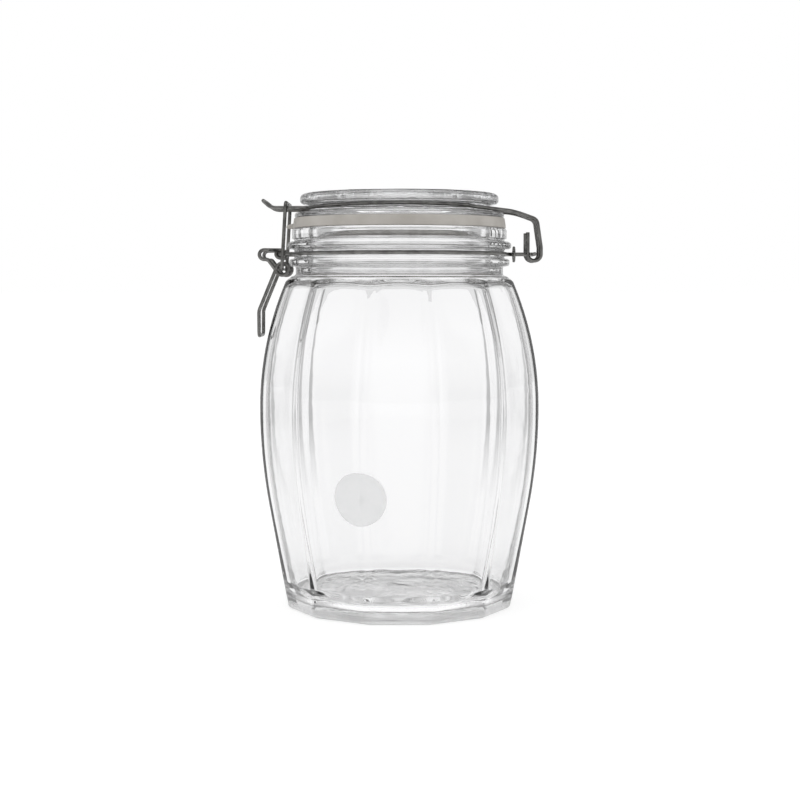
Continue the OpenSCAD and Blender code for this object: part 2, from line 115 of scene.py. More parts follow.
def around(columns=COLUMNS):
    """Angles of a ring's points."""
    return np.arange(columns) * TAU / columns


def circle(r, t, z):
    """Ring of points at the angles t. The radius r and the height z are each
    one number or one for each angle."""
    r, z = np.broadcast_to(r, t.shape), np.broadcast_to(z, t.shape)
    return np.stack([r * np.cos(t), r * np.sin(t), z], 1)


def turned(name, rings):
    """Closed skin through rings of points, pinched to a point at both ends."""
    rings = np.asarray(rings)
    rows, columns = rings.shape[:2]
    first, last = rings[0].mean(0), rings[-1].mean(0)
    inner = rings[1:-1]
    verts = np.concatenate([[first], inner.reshape(-1, 3), [last]]) * MM
    i = np.arange(columns)
    j = (i + 1) % columns
    faces = [(0, 1 + b, 1 + a) for a, b in zip(i, j)]
    for row in range(rows - 3):
        base = 1 + row * columns
        faces += list(zip(base + i, base + j, base + columns + j, base + columns + i))
    base, tip = 1 + (rows - 3) * columns, len(verts) - 1
    faces += [(base + a, base + b, tip) for a, b in zip(i, j)]
    return new_object(name, verts, faces)


def looped(name, rings):
    """Closed skin through a loop of rings, as of a seal or a sleeve."""
    rings = np.asarray(rings)
    rows, columns = rings.shape[:2]
    i = np.arange(columns)
    j = (i + 1) % columns
    faces = []
    for row in range(rows):
        a, b = row * columns, (row + 1) % rows * columns
        faces += list(zip(a + i, a + j, b + j, b + i))
    return new_object(name, rings.reshape(-1, 3) * MM, faces)


def rounded(points, steps=5, closed=False):
    """Outline through corners (r, z, corner radius), each one rounded."""
    out = []
    n = len(points)
    for k, (r, z, rad) in enumerate(points):
        p = np.array([r, z], float)
        if rad <= 0 or (not closed and k in (0, n - 1)):
            out.append(p)
            continue
        a = np.array(points[k - 1][:2], float)
        b = np.array(points[(k + 1) % n][:2], float)
        u, v = (a - p) / np.linalg.norm(a - p), (b - p) / np.linalg.norm(b - p)
        half = math.acos(max(-1, min(1, u @ v))) / 2
        cut = min(rad / math.tan(half), 0.49 * np.linalg.norm(a - p), 0.49 * np.linalg.norm(b - p))
        rad = cut * math.tan(half)
        centre = p + (u + v) / np.linalg.norm(u + v) * rad / math.sin(half)
        start, end = p + u * cut - centre, p + v * cut - centre
        a0 = math.atan2(start[1], start[0])
        sweep = (math.atan2(end[1], end[0]) - a0 + math.pi) % TAU - math.pi
        for s in range(steps + 1):
            t = a0 + sweep * s / steps
            out.append(centre + rad * np.array([math.cos(t), math.sin(t)]))
    return np.array(out)


def resampled(points, longest):
    """The same path, with points added where they stand too far apart."""
    out = [points[0]]
    for a, b in zip(points[:-1], points[1:]):
        n = max(1, math.ceil(np.linalg.norm(b - a) / longest))
        out += [a + (b - a) * k / n for k in range(1, n + 1)]
    return np.array(out)


def wave(x, y, z, seed, scale):
    """Smooth wander between -1 and 1 from a few crossed sines, the same on
    every run. Its swells are wider where scale is larger."""
    sines = 7
    rng = np.random.RandomState(seed)
    total = 0
    for _ in range(sines):
        k = rng.normal(size=3) / scale
        total = total + np.sin(k[0] * x + k[1] * y + k[2] * z + rng.uniform(0, TAU))
    return total / sines


def soft_min(a, b, k):
    """The lesser of two values, blended where they are nearer than k."""
    h = np.clip(0.5 + 0.5 * (b - a) / k, 0, 1)
    return b + (a - b) * h - k * h * (1 - h)


# ---- glass body ----
def facet_a(z):
    """Distance from the axis to a facet at the height z."""
    z = np.asarray(z, float)
    up = APOTHEM - UPPER_R + np.sqrt(UPPER_R ** 2 - (z - WIDEST_Z) ** 2)
    low = APOTHEM - LOWER_R + np.sqrt(LOWER_R ** 2 - (z - WIDEST_Z) ** 2)
    foot = FOOT_A + z * math.tan(FOOT_SLOPE)
    bevel = FOOT_A - BEVEL + z * (1 + math.tan(FOOT_SLOPE))
    foot = np.where(z < BEVEL, bevel, foot)
    return np.where(z > WIDEST_Z, up, np.where(z > KNEE_Z, low, foot))


def faceted(a, t, crisp):
    """Radius at the angle t of a polygon with facets at the distance a. Its
    corners are sharper where crisp is larger."""
    off = (np.asarray(t) + STEP / 2) % STEP - STEP / 2
    total = sum(np.cos(off + k * STEP) ** crisp for k in (-1, 0, 1))
    return a * total ** (-1 / crisp)


def skin_r(z, t):
    """Outer radius of the barrel at the height z and the angle t, with its
    ridges and shoulder softened as pressed glass is."""
    cone = SHOULDER_R + SHOULDER_RUN * (SHOULDER_Z - np.asarray(z, float))
    return soft_min(faceted(facet_a(z), t, CRISP), cone, 1.0)


def stipple(t):
    """Fine flutes pressed round the foot."""
    return 1 + np.cos(t * COLUMNS / 4)


def underside(t):
    """Push-up with a shallow mould ring, then the fluted ring it stands on."""
    kick_r = FOOT_A - RING_W
    mould_r, mould_half, mould_depth = 26, 1.4, 0.35
    rings = []
    for r in np.linspace(0, kick_r - 0.6, 44):
        dome = KICK_H * (1 - (r / kick_r) ** 2)
        step = mould_depth * math.exp(-((r - mould_r) / mould_half) ** 2)
        mottle = 0.42 * wave(r * np.cos(t), r * np.sin(t), 0, 5, 2.6)
        rings.append(circle(r, t, dome - step + mottle * min(1, r / 10) * min(1, (kick_r - r) / 4)))
    flat_r = faceted(FOOT_A - BEVEL, t, CRISP)
    for share in np.linspace(0.06, 0.94, 8):
        lift = 0.02 + 0.04 * stipple(t) * math.sin(math.pi * share) ** 0.5
        rings.append(circle(kick_r + (flat_r - kick_r) * share, t, lift))
    return rings


def barrel(t):
    """Outside of the barrel, close rows at the foot and the shoulder."""
    flutes_low, flutes_high = 0.5, 4.0
    heights = np.concatenate([
        [0.03, 0.2, 0.45, BEVEL, 1.1, 1.6, 2.4, 3.6], np.arange(5, 136, 2.6),
        np.arange(136, 150, 0.9), np.arange(150, SHOULDER_Z - 0.3, 0.4)])
    rings = []
    for z in heights:
        r = skin_r(z, t)
        inside_ends = min(1, z / 12) * min(1, (SHOULDER_Z - z) / 12)
        r = r + 0.02 * inside_ends * wave(r * np.cos(t), r * np.sin(t), z, 11, 12.0)
        if flutes_low < z < flutes_high:
            r = r - 0.06 * stipple(t) * math.sin(math.pi * (z - flutes_low) / (flutes_high - flutes_low))
        rings.append(circle(r, t, z))
    return rings, heights[-1]


def neck(t, foot_z):
    """Neck with its flanges and groove, rim and mouth."""
    foot_r = float(skin_r(foot_z, np.array([0.0]))[0])
    outline = rounded([
        (foot_r, foot_z + 0.1, 0), (NECK_R, SHOULDER_Z + 0.5, 1.2), (NECK_R, LOW_FLANGE_FOOT, 0.8),
        (LOW_FLANGE_R, LOW_FLANGE_FOOT, 1.4), (LOW_FLANGE_R, LOW_FLANGE_TOP, 1.4),
        (GROOVE_R, LOW_FLANGE_TOP, 0.8), (GROOVE_R, FLANGE_FOOT, 0.8), (FLANGE_R, FLANGE_FOOT, 1.5),
        (FLANGE_R, FLANGE_TOP, 1.5), (GROOVE_R, FLANGE_TOP, 0.5), (GROOVE_R, RIM_BAND_Z, 0.5),
        (RIM_R, RIM_BAND_Z, 1.0), (RIM_R, RIM_Z, 1.0), (MOUTH_R, RIM_Z, 1.4),
        (MOUTH_R, SHOULDER_Z + 0.4, 3.0), (NECK_R, SHOULDER_Z - 2.8, 0)])
    return [circle(r, t, z) for r, z in resampled(outline, 1.6)]


def cavity(t):
    """Inside of the wall, which follows the facets softly and wanders near the
    base, then the rounded corner and the swirled floor."""
    floor_z = KICK_H + FLOOR_T
    corner_z = floor_z + INNER_CORNER
    heights = np.concatenate([
        np.arange(151.9, 146, -0.6), np.arange(145.5, corner_z + 1.5, -2.2), [corner_z + 1.2]])
    rings = []
    for z in heights:
        inner = faceted(facet_a(z) - WALL + 0.3, t, INNER_CRISP)
        inner = soft_min(inner, SHOULDER_R + SHOULDER_RUN * (SHOULDER_Z - 3.4 - z), 3.5)
        low = max(0.0, (44 - z) / 30)
        wander = wave(inner * np.cos(t), inner * np.sin(t), z * 0.4, 23, 10.0)
        rings.append(circle(inner - 1.0 * low ** 2 + (0.02 + 0.22 * low ** 2) * (wander - 0.4), t, z))
    corner_r = float(facet_a(corner_z)) - WALL - 1.5 - INNER_CORNER
    for a in np.linspace(-0.08, -math.pi / 2, 14):
        r = corner_r + INNER_CORNER * math.cos(a)
        z = corner_z + INNER_CORNER * math.sin(a)
        x, y = r * np.cos(t), r * np.sin(t)
        sag = 0.1 * wave(x, y, z, 25, 7.0) * -math.sin(a)
        rings.append(circle(r + 0.22 * wave(x, y, z, 24, 9.0), t, z + sag))
    for r in np.linspace(corner_r - 1.6, 0, 34):
        swirl = 0.55 * wave(r * np.cos(t), r * np.sin(t), 0, 31, 3.6) * min(1, r / 8)
        rings.append(circle(r, t, floor_z + 0.1 * math.cos(r * 0.42) + swirl))
    return rings


def glass_jar():
    t = around()
    outside, top = barrel(t)
    return turned("jar_glass", underside(t) + outside + neck(t, top) + cavity(t))


# ---- glass lid ----
def glass_lid():
    t = around()
    outline = rounded([
        (0, LID_FLANGE_TOP + 0.7, 0), (30, LID_FLANGE_TOP + 0.6, 6),
        (PLUG_BORE - 1.2, LID_FLANGE_TOP - 0.2, 2.5), (PLUG_BORE, PLUG_Z, 1.0),
        (PLUG_R, PLUG_Z, 1.1), (PLUG_R, LID_FOOT, 0.5),
        (LID_FLANGE_R, LID_FOOT, 0.7), (LID_FLANGE_R, LID_FLANGE_TOP, 1.1),
        (LID_GROOVE_R, LID_FLANGE_TOP, 0.9), (LID_GROOVE_R, DISC_FOOT, 0.9), (DISC_R, DISC_FOOT, 1.7),
        (DISC_R, LID_TOP, 2.2), (DISC_R - 5.2, LID_TOP, 1.2), (DISC_R - 7.2, LID_TOP - 1.2, 1.4),
        (0, LID_TOP - 1.1, 0)])
    edge_r = 40  # the raised edge of the disc begins here
    rings = []
    for r, z in resampled(outline, 1.5):
        on_disc = max(0.0, min(1.0, (z - DISC_FOOT + 0.6) / 2))
        flutes = 0.10 * np.cos(t * COLUMNS / 8) * on_disc * max(0, min(1, (r - edge_r) / 3))
        on_top = 10 < r < edge_r - 2 and z > LID_TOP - 1.6
        pressed_rings = 0.14 * math.cos(r * 1.25) if on_top else 0.0
        dips = 0.09 * wave(r * np.cos(t), r * np.sin(t), z, 41, 5.0) * max(0.0, min(1.0, (r - 2) / 6))
        on_seal = z < LID_FOOT + 0.4 and r > edge_r + 1
        relief = np.zeros(t.shape) if on_seal else pressed_rings + dips
        inset = 0.12 * on_disc * (r > edge_r)
        rings.append(circle(r + flutes - inset, t, z + relief - 0.1 * on_disc))
    return turned("lid_glass", rings)


# ---- seal with its pull tab ----
def seal_band():
    t = around()
    outline = rounded([
        (SEAL_BORE, SEAL_FOOT, 0.35), (SEAL_R, SEAL_FOOT, 0.45), (SEAL_R - 0.05, TAB_TOP, 0.25),
        (SEAL_R - 0.55, SEAL_TOP, 0.55), (SEAL_BORE, SEAL_TOP, 0.35)], 4, True)
    outline = resampled(np.vstack([outline, outline[:1]]), 0.9)[:-1]
    # How far out the round tab reaches at each angle, on the latch side
    from_tab = t - math.pi
    inside = TAB_HALF ** 2 - (TAB_CENTRE * np.sin(from_tab)) ** 2
    reach = np.where(inside > 0, TAB_CENTRE * np.cos(from_tab) + np.sqrt(np.maximum(inside, 0)), 0)
    rings = []
    for r, z in outline:
        outer = np.full(t.shape, r)
        if z <= TAB_TOP + 0.02 and r > SEAL_R - 1.65:
            off_middle = abs((z - (SEAL_FOOT + TAB_TOP) / 2) / ((TAB_TOP - SEAL_FOOT) / 2))
            edge = 0.25 * off_middle ** 3
            outer = np.maximum(outer, reach - edge - (SEAL_R - min(r, SEAL_R)))
        rings.append(circle(outer, t, z))
    return looped("seal_band", rings)


# ---- wires ----
def v3(*p):
    return np.array(p, float)


X, Y, Z = v3(1, 0, 0), v3(0, 1, 0), v3(0, 0, 1)


def bent(points, radii, step=0.35):
    """Path through corners with a bend of the given radius at each."""
    out = [points[0]]
    for k in range(1, len(points) - 1):
        p = points[k]
        a, b = points[k - 1] - p, points[k + 1] - p
        la, lb = np.linalg.norm(a), np.linalg.norm(b)
        a, b = a / la, b / lb
        half = math.acos(max(-1, min(1, a @ b))) / 2
        if half > math.pi / 2 - 1e-3 or radii[k] <= 0:
            out.append(p)
            continue
        cut = min(radii[k] / math.tan(half), la * 0.95, lb * 0.95)
        rad = cut * math.tan(half)
        centre = p + (a + b) / np.linalg.norm(a + b) * rad / math.sin(half)
        s, e = p + a * cut - centre, p + b * cut - centre
        total = math.pi - 2 * half
        n = max(3, math.ceil(rad * total / step))
        for i in range(n + 1):
            f = i / n
            out.append(centre + (math.sin((1 - f) * total) * s + math.sin(f * total) * e) / math.sin(total))
    out.append(points[-1])
    return out


def arc(centre, u, v, radius, a0, a1, step=0.35):
    """Arc from the angle a0 to a1, counted from the direction u towards v."""
    n = max(4, math.ceil(abs(a1 - a0) * radius / step))
    return [centre + radius * (math.cos(a) * u + math.sin(a) * v) for a in np.linspace(a0, a1, n + 1)]


def mirrored(path):
    return [p * v3(1, -1, 1) for p in reversed(path)]


def tube(name, path, radius, sides=20, bevel=0.16):
    """Round wire along a path, with slightly broken cut ends. Its UV layer
    holds the turn round the wire and the millimetres along it."""
    apart, longest = 0.05, 2.5
    corners = [path[0]]
    for p in path[1:]:
        if np.linalg.norm(p - corners[-1]) > apart:
            corners.append(p)
    points = resampled(corners, longest)
    tangents = np.gradient(points, axis=0)
    tangents /= np.linalg.norm(tangents, axis=1)[:, None]
    side = np.cross(tangents[0], v3(0.31, 0.2, 0.93))
    side /= np.linalg.norm(side)
    stations, run = [], 0.0
    for k, (centre, ahead) in enumerate(zip(points, tangents)):
        side = side - ahead * (side @ ahead)
        side /= np.linalg.norm(side)
        if k:
            run += np.linalg.norm(points[k] - points[k - 1])
        stations.append((centre, side, np.cross(ahead, side), radius, run))
    start = (*stations[0][:3], radius - bevel, -bevel)
    end = (*stations[-1][:3], radius - bevel, run + bevel)
    stations[0] = (points[0] + tangents[0] * bevel, *stations[0][1:])
    stations[-1] = (points[-1] - tangents[-1] * bevel, *stations[-1][1:])
    stations = [start] + stations + [end]
    t = around(sides)
    verts = [c + r * (np.cos(t)[:, None] * s + np.sin(t)[:, None] * o) for c, s, o, r, _ in stations]
    lengths = [station[-1] for station in stations]
    faces, uvs = [], []
    for row in range(len(stations) - 1):
        a, b = row * sides, (row + 1) * sides
        for m in range(sides):
            n = (m + 1) % sides
            faces.append((a + m, a + n, b + n, b + m))
            u0, u1 = m / sides, (m + 1) / sides
            uvs += [(u0, lengths[row]), (u1, lengths[row]), (u1, lengths[row + 1]), (u0, lengths[row + 1])]
    last = (len(stations) - 1) * sides
    faces += [tuple(reversed(range(sides))), tuple(range(last, last + sides))]
    uvs += [(0.5, 0.0)] * (2 * sides)
    obj = new_object(name, np.concatenate(verts) * MM, faces)
    layer = obj.data.uv_layers.new(name="along")
    layer.data.foreach_set("uv", np.array(uvs, np.float32).ravel())
    for polygon in list(obj.data.polygons)[-2:]:
        polygon.use_smooth = False
    return obj


def bend_centre(ring_r, z, y, side):
    """Centre of the bend from a ring out to a run along X at the depth y."""
    return v3(side * math.sqrt((ring_r + FILLET) ** 2 - (y + FILLET) ** 2), y + FILLET, z)


def ring_path(ring_r, z, start_angle, nose_y, bow=0.0):
    """Arc of a ring on its +Y side from the angle start_angle, bowed up by bow
    at mid depth, with a bend out to a run along X at the depth nose_y."""
    bend = bend_centre(ring_r, z, nose_y, -1)
    end_angle = math.atan2(bend[1], bend[0])
    loop = arc(v3(0, 0, z), X, Y, ring_r, start_angle, end_angle, 1.2)
    loop = [q + bow * (q[1] / ring_r) ** 2 * Z for q in loop]
    return loop + arc(bend, X, Y, FILLET, end_angle - math.pi, -math.pi / 2)


def closed_by(half, corner_bar, bend_radius):
    """A half path that ends on its way to a cross bar, joined to its mirror."""
    tail = bent([half[-1], corner_bar, corner_bar * v3(1, 0, 1)], [0, bend_radius, 0])[1:]
    whole = half + tail[:-1]
    return whole + mirrored(whole)


pivot, hinge = v3(PIVOT_X, 0, WIRE_Z), v3(HINGE_X, 0, WIRE_Z)
coil = pivot + v3(COIL_IN, 0, -COIL_DROP)


def neck_wire_loop():
    """From one hinge pin round the neck to the latch's pivot bar and back."""
    pin_end, run_y, run_in = 10, 0.93, 52.0
    path = bent([hinge + pin_end * Y, hinge + run_y * Y, v3(run_in, run_y, WIRE_Z)], [0, 1.8, 0])[:-1]
    bend = bend_centre(NECK_RING_R, WIRE_Z, run_y, 1)
    bend_angle = math.atan2(bend[1], bend[0])
    path += arc(bend, X, Y, FILLET, -math.pi / 2, bend_angle - math.pi)
    path += ring_path(NECK_RING_R, WIRE_Z, bend_angle, NOSE_HALF)
    return tube("neck_wire_loop", closed_by(path, pivot + NOSE_HALF * Y, 1.6), WIRE_R)


def lid_wire_loop():
    """From a free tail through the hook under a hinge pin, up the arm, round
    the lid's groove and out to the tongue."""
    arm_x = 54.0
    leave_angle = math.atan2(HOOK_HALF, arm_x) + math.acos(LID_RING_R / math.hypot(arm_x, HOOK_HALF))
    leave = v3(LID_RING_R * math.cos(leave_angle), LID_RING_R * math.sin(leave_angle), LID_WIRE_Z)
    lead = leave + 1.5 * v3(math.sin(leave_angle), -math.cos(leave_angle), 0)
    tail_x, arm_foot_x = HINGE_X - HOOK_R, HINGE_X + HOOK_R
    path = [v3(tail_x, HOOK_HALF, WIRE_Z + TAIL_H), v3(tail_x, HOOK_HALF, WIRE_Z + 0.1)]
    path += arc(v3(HINGE_X, HOOK_HALF, WIRE_Z), X, Z, HOOK_R, math.pi, TAU)
    path += bent([v3(arm_foot_x, HOOK_HALF, WIRE_Z), v3(arm_foot_x, HOOK_HALF, WIRE_Z + 3.2),
                  v3(HINGE_X + 1.2, HOOK_HALF, LID_WIRE_Z - 5.2), v3(arm_x, HOOK_HALF, LID_WIRE_Z - 1.4),
                  lead, leave], [0, 8, 3.4, 12, 12, 0])[1:]
    path += ring_path(LID_RING_R, LID_WIRE_Z, leave_angle, TONGUE_HALF, 0.75)
    tongue_tip = v3(PIVOT_X - TONGUE_OUT, TONGUE_HALF, LID_WIRE_Z + TONGUE_RISE)
    tongue_knee = v3(PIVOT_X - 3.9, TONGUE_HALF, LID_WIRE_Z)
    path += bent([path[-1], tongue_knee, tongue_tip], [0, 6.0, 0])[1:-1]
    return tube("lid_wire_loop", closed_by(path, tongue_tip, 2.0), WIRE_R)


def latch_lever_wire():
    """From an eye round the pivot bar through the hairpin, down the diagonal
    to the coil, once round it and down the handle's leg."""
    eye_r = WIRE_R + EYE_GAP + LATCH_R
    eye_top = WIRE_Z + eye_r
    grip_z = coil[2] - HANDLE_L
    leg_foot = v3(-float(facet_a(grip_z)) - HANDLE_GAP - LATCH_R, 0, coil[2] - LEG_DROP)
    leg_line = leg_foot - coil
    diagonal = math.radians(-53.7)
    leg = TAU + math.atan2(leg_line[2], leg_line[0]) + math.asin(COIL_R / np.linalg.norm(leg_line))
    diagonal_dir = v3(math.cos(diagonal), 0, math.sin(diagonal))
    leg_dir = v3(math.cos(leg), 0, math.sin(leg))
    coil_start = coil + COIL_R * v3(diagonal_dir[2], 0, -diagonal_dir[0])
    coil_end = coil + COIL_R * v3(leg_dir[2], 0, -leg_dir[0])
    bow = v3(PIVOT_X - HAIRPIN_REACH + HAIRPIN_R, COIL_HALF, eye_top - HAIRPIN_R)
    bow_foot = bow[2] - HAIRPIN_R
    turn_in = coil_start + diagonal_dir * (bow_foot - coil_start[2]) / diagonal_dir[2]
    path = arc(pivot + EYE_HALF * Y, X, Z, eye_r, math.radians(90 - 310), math.pi / 2, 0.25)
    path += bent([v3(PIVOT_X, EYE_HALF, eye_top), v3(PIVOT_X - 1.2, EYE_HALF, eye_top),
                  v3(PIVOT_X - 5.6, COIL_HALF, eye_top), v3(bow[0], COIL_HALF, eye_top)], [0, 3, 3, 0])[1:]
    path += arc(bow, X, Z, HAIRPIN_R, math.pi / 2, 1.5 * math.pi, 0.3)
    path += bent([v3(bow[0], COIL_HALF, bow_foot), turn_in + COIL_HALF * Y, coil_start + COIL_HALF * Y],
                 [0, 1.1, 0])[1:]
    path += arc(coil + COIL_HALF * Y, X, Z, COIL_R, diagonal - math.pi / 2, leg - math.pi / 2, 0.25)
    grip = v3(leg_foot[0], GRIP_HALF, grip_z)
    path += bent([coil_end + COIL_HALF * Y, leg_foot + COIL_HALF * Y, grip], [0, 6, 0])[1:-1]
    return tube("latch_lever_wire", closed_by(path, grip, 2.6), LATCH_R)


def latch_link_wire():
    """From a pin in the lever's coil up to the bar over the tongue."""
    bar = v3(PIVOT_X + LINK_HOOK_IN, LINK_HALF, LID_WIRE_Z + WIRE_R + LATCH_R + LINK_HOOK_GAP)
    path = bent([coil + 10.15 * Y, coil + LINK_HALF * Y, bar], [0, 1.4, 0])[:-1]
    return tube("latch_link_wire", closed_by(path, bar, 2.4), LATCH_R)


def tie_sleeve():
    """Sleeve round the two ends of the neck wire, which run along X."""
    bore, outer, half, place, sides = 1.9, 3.78, 0.58, FLANGE_R + 1.3, 48
    corners = [(bore, -half, 0.2), (outer, -half, 0.4), (outer, half, 0.4), (bore, half, 0.2)]
    outline = rounded(corners, 4, True)
    rings = np.array([circle(r, around(sides), along) for r, along in outline])
    rings = np.stack([place + rings[..., 2], rings[..., 0], WIRE_Z + rings[..., 1]], 2)
    obj = looped("tie_sleeve", rings)
    layer = obj.data.uv_layers.new(name="along")
    vertex = np.zeros(len(obj.data.loops), np.int32)
    obj.data.loops.foreach_get("vertex_index", vertex)
    uvs = np.stack([vertex // sides / 24, vertex % sides * 0.4], 1)
    layer.data.foreach_set("uv", uvs.astype(np.float32).ravel())
    return obj


# ---- blank sticker, bent over one ridge ----
def blank_sticker():
    under, top = 0.04, 0.2
    t = around(96)
    rings = []
    for lift, reach in ((under, 0), (under, 0.25), (under, 0.5), (under, 0.75), (under, 1.0), (0.16, 1.0),
                        (top, 0.992), (top, 0.75), (top, 0.5), (top, 0.25), (top, 0)):
        z = LABEL_Z + LABEL_R * reach * np.sin(t)
        angle = LABEL_TURN + LABEL_R * reach * np.cos(t) / float(facet_a(LABEL_Z))
        rings.append(circle(skin_r(z, angle) + lift, angle, z))
    return turned("blank_sticker", rings)


# ---- the pieces, each in place of its CAD node and on its body ----
jar = glass_jar()
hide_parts("glass_jar")
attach(jar, "jar")

lid = glass_lid()
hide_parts("glass_lid")
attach(lid, "lid")

seal = seal_band()
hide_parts("seal_ring")
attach(seal, "lid")

neck_wire, lid_wire = neck_wire_loop(), lid_wire_loop()
lever, link, tie = latch_lever_wire(), latch_link_wire(), tie_sleeve()
for piece, node, body in ((neck_wire, "neck_wire", "jar"), (lid_wire, "lid_wire", "lid"),
                          (lever, "latch_lever", "lever"), (link, "latch_link", "link"),
                          (tie, "tie_ring", "jar")):
    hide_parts(node)
    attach(piece, body)

label = blank_sticker()
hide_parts("round_label")
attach(label, "jar")


# ---- materials ----
def material(name):
    m = bpy.data.materials.new(name)
    m.use_nodes = True
    return m, m.node_tree.nodes, m.node_tree.links, m.node_tree.nodes["Principled BSDF"]


def calculator(nodes, links):
    """A function that adds one math node and gives its output. Its inputs are
    numbers or sockets."""
    def calc(op, a, b=None, clamp=False):
        n = nodes.new("ShaderNodeMath")
        n.operation = op
        n.use_clamp = clamp
        for socket, value in zip(n.inputs, (a, b)):
            if value is None:
                continue
            if isinstance(value, (int, float)):
                socket.default_value = value
            else:
                links.new(value, socket)
        return n.outputs[0]
    return calc


def noise(nodes, links, coords, scale, detail=3.0, stretch=None):
    n = nodes.new("ShaderNodeTexNoise")
    n.inputs["Scale"].default_value = scale
    n.inputs["Detail"].default_value = detail
    source = coords
    if stretch:
        mapping = nodes.new("ShaderNodeMapping")
        mapping.inputs["Scale"].default_value = stretch
        links.new(coords, mapping.inputs["Vector"])
        source = mapping.outputs["Vector"]
    links.new(source, n.inputs["Vector"])
    return n.outputs["Fac"]


def ramp(nodes, links, value, low, high, a=0.35, b=0.65):
    """From low to high while the value goes from a to b."""
    m = nodes.new("ShaderNodeMapRange")
    m.inputs["From Min"].default_value = a
    m.inputs["From Max"].default_value = b
    m.inputs["To Min"].default_value = low
    m.inputs["To Max"].default_value = high
    links.new(value, m.inputs["Value"])
    return m.outputs["Result"]


def bump(nodes, links, height, distance, strength=1.0, after=None):
    b = nodes.new("ShaderNodeBump")
    b.inputs["Strength"].default_value = strength
    b.inputs["Distance"].default_value = distance
    links.new(height, b.inputs["Height"])
    if after:
        links.new(after, b.inputs["Normal"])
    return b.outputs["Normal"]


def two_tone(nodes, links, shader, tone_a, tone_b, pattern):
    """Base colour that wanders between two tones with a noise pattern."""
    mix = nodes.new("ShaderNodeMix")
    mix.data_type = "RGBA"
    mix.inputs["A"].default_value = (*tone_a, 1)
    mix.inputs["B"].default_value = (*tone_b, 1)
    links.new(ramp(nodes, links, pattern, 0.0, 1.0), mix.inputs["Factor"])
    links.new(mix.outputs["Result"], shader.inputs["Base Color"])


def foot_dots(nodes, links, place):
    """Rows of small dots pressed round the lowest 4 mm of the foot."""
    dots_round, row_height, top = 300.0, 0.0013, 0.0042
    calc = calculator(nodes, links)
    xyz = nodes.new("ShaderNodeSeparateXYZ")
    links.new(place, xyz.inputs[0])
    azimuth = calc("ARCTAN2", xyz.outputs["Y"], xyz.outputs["X"])
    columns = calc("COSINE", calc("MULTIPLY", azimuth, dots_round))
    rows = calc("COSINE", calc("MULTIPLY", xyz.outputs["Z"], TAU / row_height))
    low = calc("MULTIPLY", calc("SUBTRACT", top, xyz.outputs["Z"]), 1500.0, True)
    return calc("MULTIPLY", calc("MULTIPLY", columns, rows), low)


def glass(name, ripple_scale, ripple_depth, density, dotted_foot=False):
    """Pressed glass: rippled, hardly tinted, and lighter where it's seen
    edge-on, so that its outlines stay grey lines."""
    m, nodes, links, shader = material(name)
    place = nodes.new("ShaderNodeTexCoord").outputs["Object"]
    shader.inputs["Base Color"].default_value = (0.992, 0.992, 0.995, 1)
    shader.inputs["Transmission Weight"].default_value = 1.0
    shader.inputs["IOR"].default_value = 1.5
    smudge = noise(nodes, links, place, 60.0, 4.0)
    links.new(ramp(nodes, links, smudge, 0.0, 0.02), shader.inputs["Roughness"])
    normal = bump(nodes, links, noise(nodes, links, place, ripple_scale, 2.0), ripple_depth)
    if dotted_foot:
        normal = bump(nodes, links, foot_dots(nodes, links, place), 0.00004, 1.0, normal)
    links.new(normal, shader.inputs["Normal"])
    facing = nodes.new("ShaderNodeLayerWeight")
    facing.inputs["Blend"].default_value = 0.5
    links.new(ramp(nodes, links, facing.outputs["Facing"], 1.0, 0.4, 0.7, 0.96), shader.inputs["Alpha"])
    volume = nodes.new("ShaderNodeVolumeAbsorption")
    volume.inputs["Color"].default_value = (0.74, 0.75, 0.77, 1)
    volume.inputs["Density"].default_value = density
    links.new(volume.outputs["Volume"], nodes["Material Output"].inputs["Volume"])
    return m


def drawn_wire(name):
    """Steel wire with drawing marks along it and darker patches."""
    m, nodes, links, shader = material(name)
    steel = (0.20, 0.197, 0.19)
    uv = nodes.new("ShaderNodeUVMap")
    uv.uv_map = "along"
    place = nodes.new("ShaderNodeTexCoord").outputs["Object"]
    shader.inputs["Metallic"].default_value = 1.0
    patch = noise(nodes, links, place, 240.0, 3.0)
    two_tone(nodes, links, shader, [c * 0.72 for c in steel], [c * 1.25 for c in steel], patch)
    streak = noise(nodes, links, uv.outputs["UV"], 1.0, 4.0, (34.0, 0.06, 1.0))
    links.new(ramp(nodes, links, streak, 0.22, 0.38), shader.inputs["Roughness"])
    links.new(bump(nodes, links, streak, 0.00003, 0.6), shader.inputs["Normal"])
    return m


def rubber(name):
    m, nodes, links, shader = material(name)
    place = nodes.new("ShaderNodeTexCoord").outputs["Object"]
    patch = noise(nodes, links, place, 90.0, 5.0)
    two_tone(nodes, links, shader, (0.43, 0.405, 0.37), (0.52, 0.495, 0.46), patch)
    grain = noise(nodes, links, place, 1600.0, 3.0)
    links.new(ramp(nodes, links, grain, 0.46, 0.6), shader.inputs["Roughness"])
    links.new(bump(nodes, links, grain, 0.00005, 0.5), shader.inputs["Normal"])
    return m


def film(name):
    """Half clear film of the blank sticker."""
    m, nodes, links, shader = material(name)
    place = nodes.new("ShaderNodeTexCoord").outputs["Object"]
    patch = noise(nodes, links, place, 400.0, 4.0)
    two_tone(nodes, links, shader, (0.93, 0.935, 0.94), (0.95, 0.95, 0.955), patch)
    shader.inputs["Alpha"].default_value = 0.48
    grain = noise(nodes, links, place, 2500.0, 2.0)
    links.new(ramp(nodes, links, grain, 0.4, 0.55), shader.inputs["Roughness"])
    links.new(bump(nodes, links, grain, 0.00002, 0.4), shader.inputs["Normal"])
    return m


def wear(obj, m):
    obj.data.materials.clear()
    obj.data.materials.append(m)


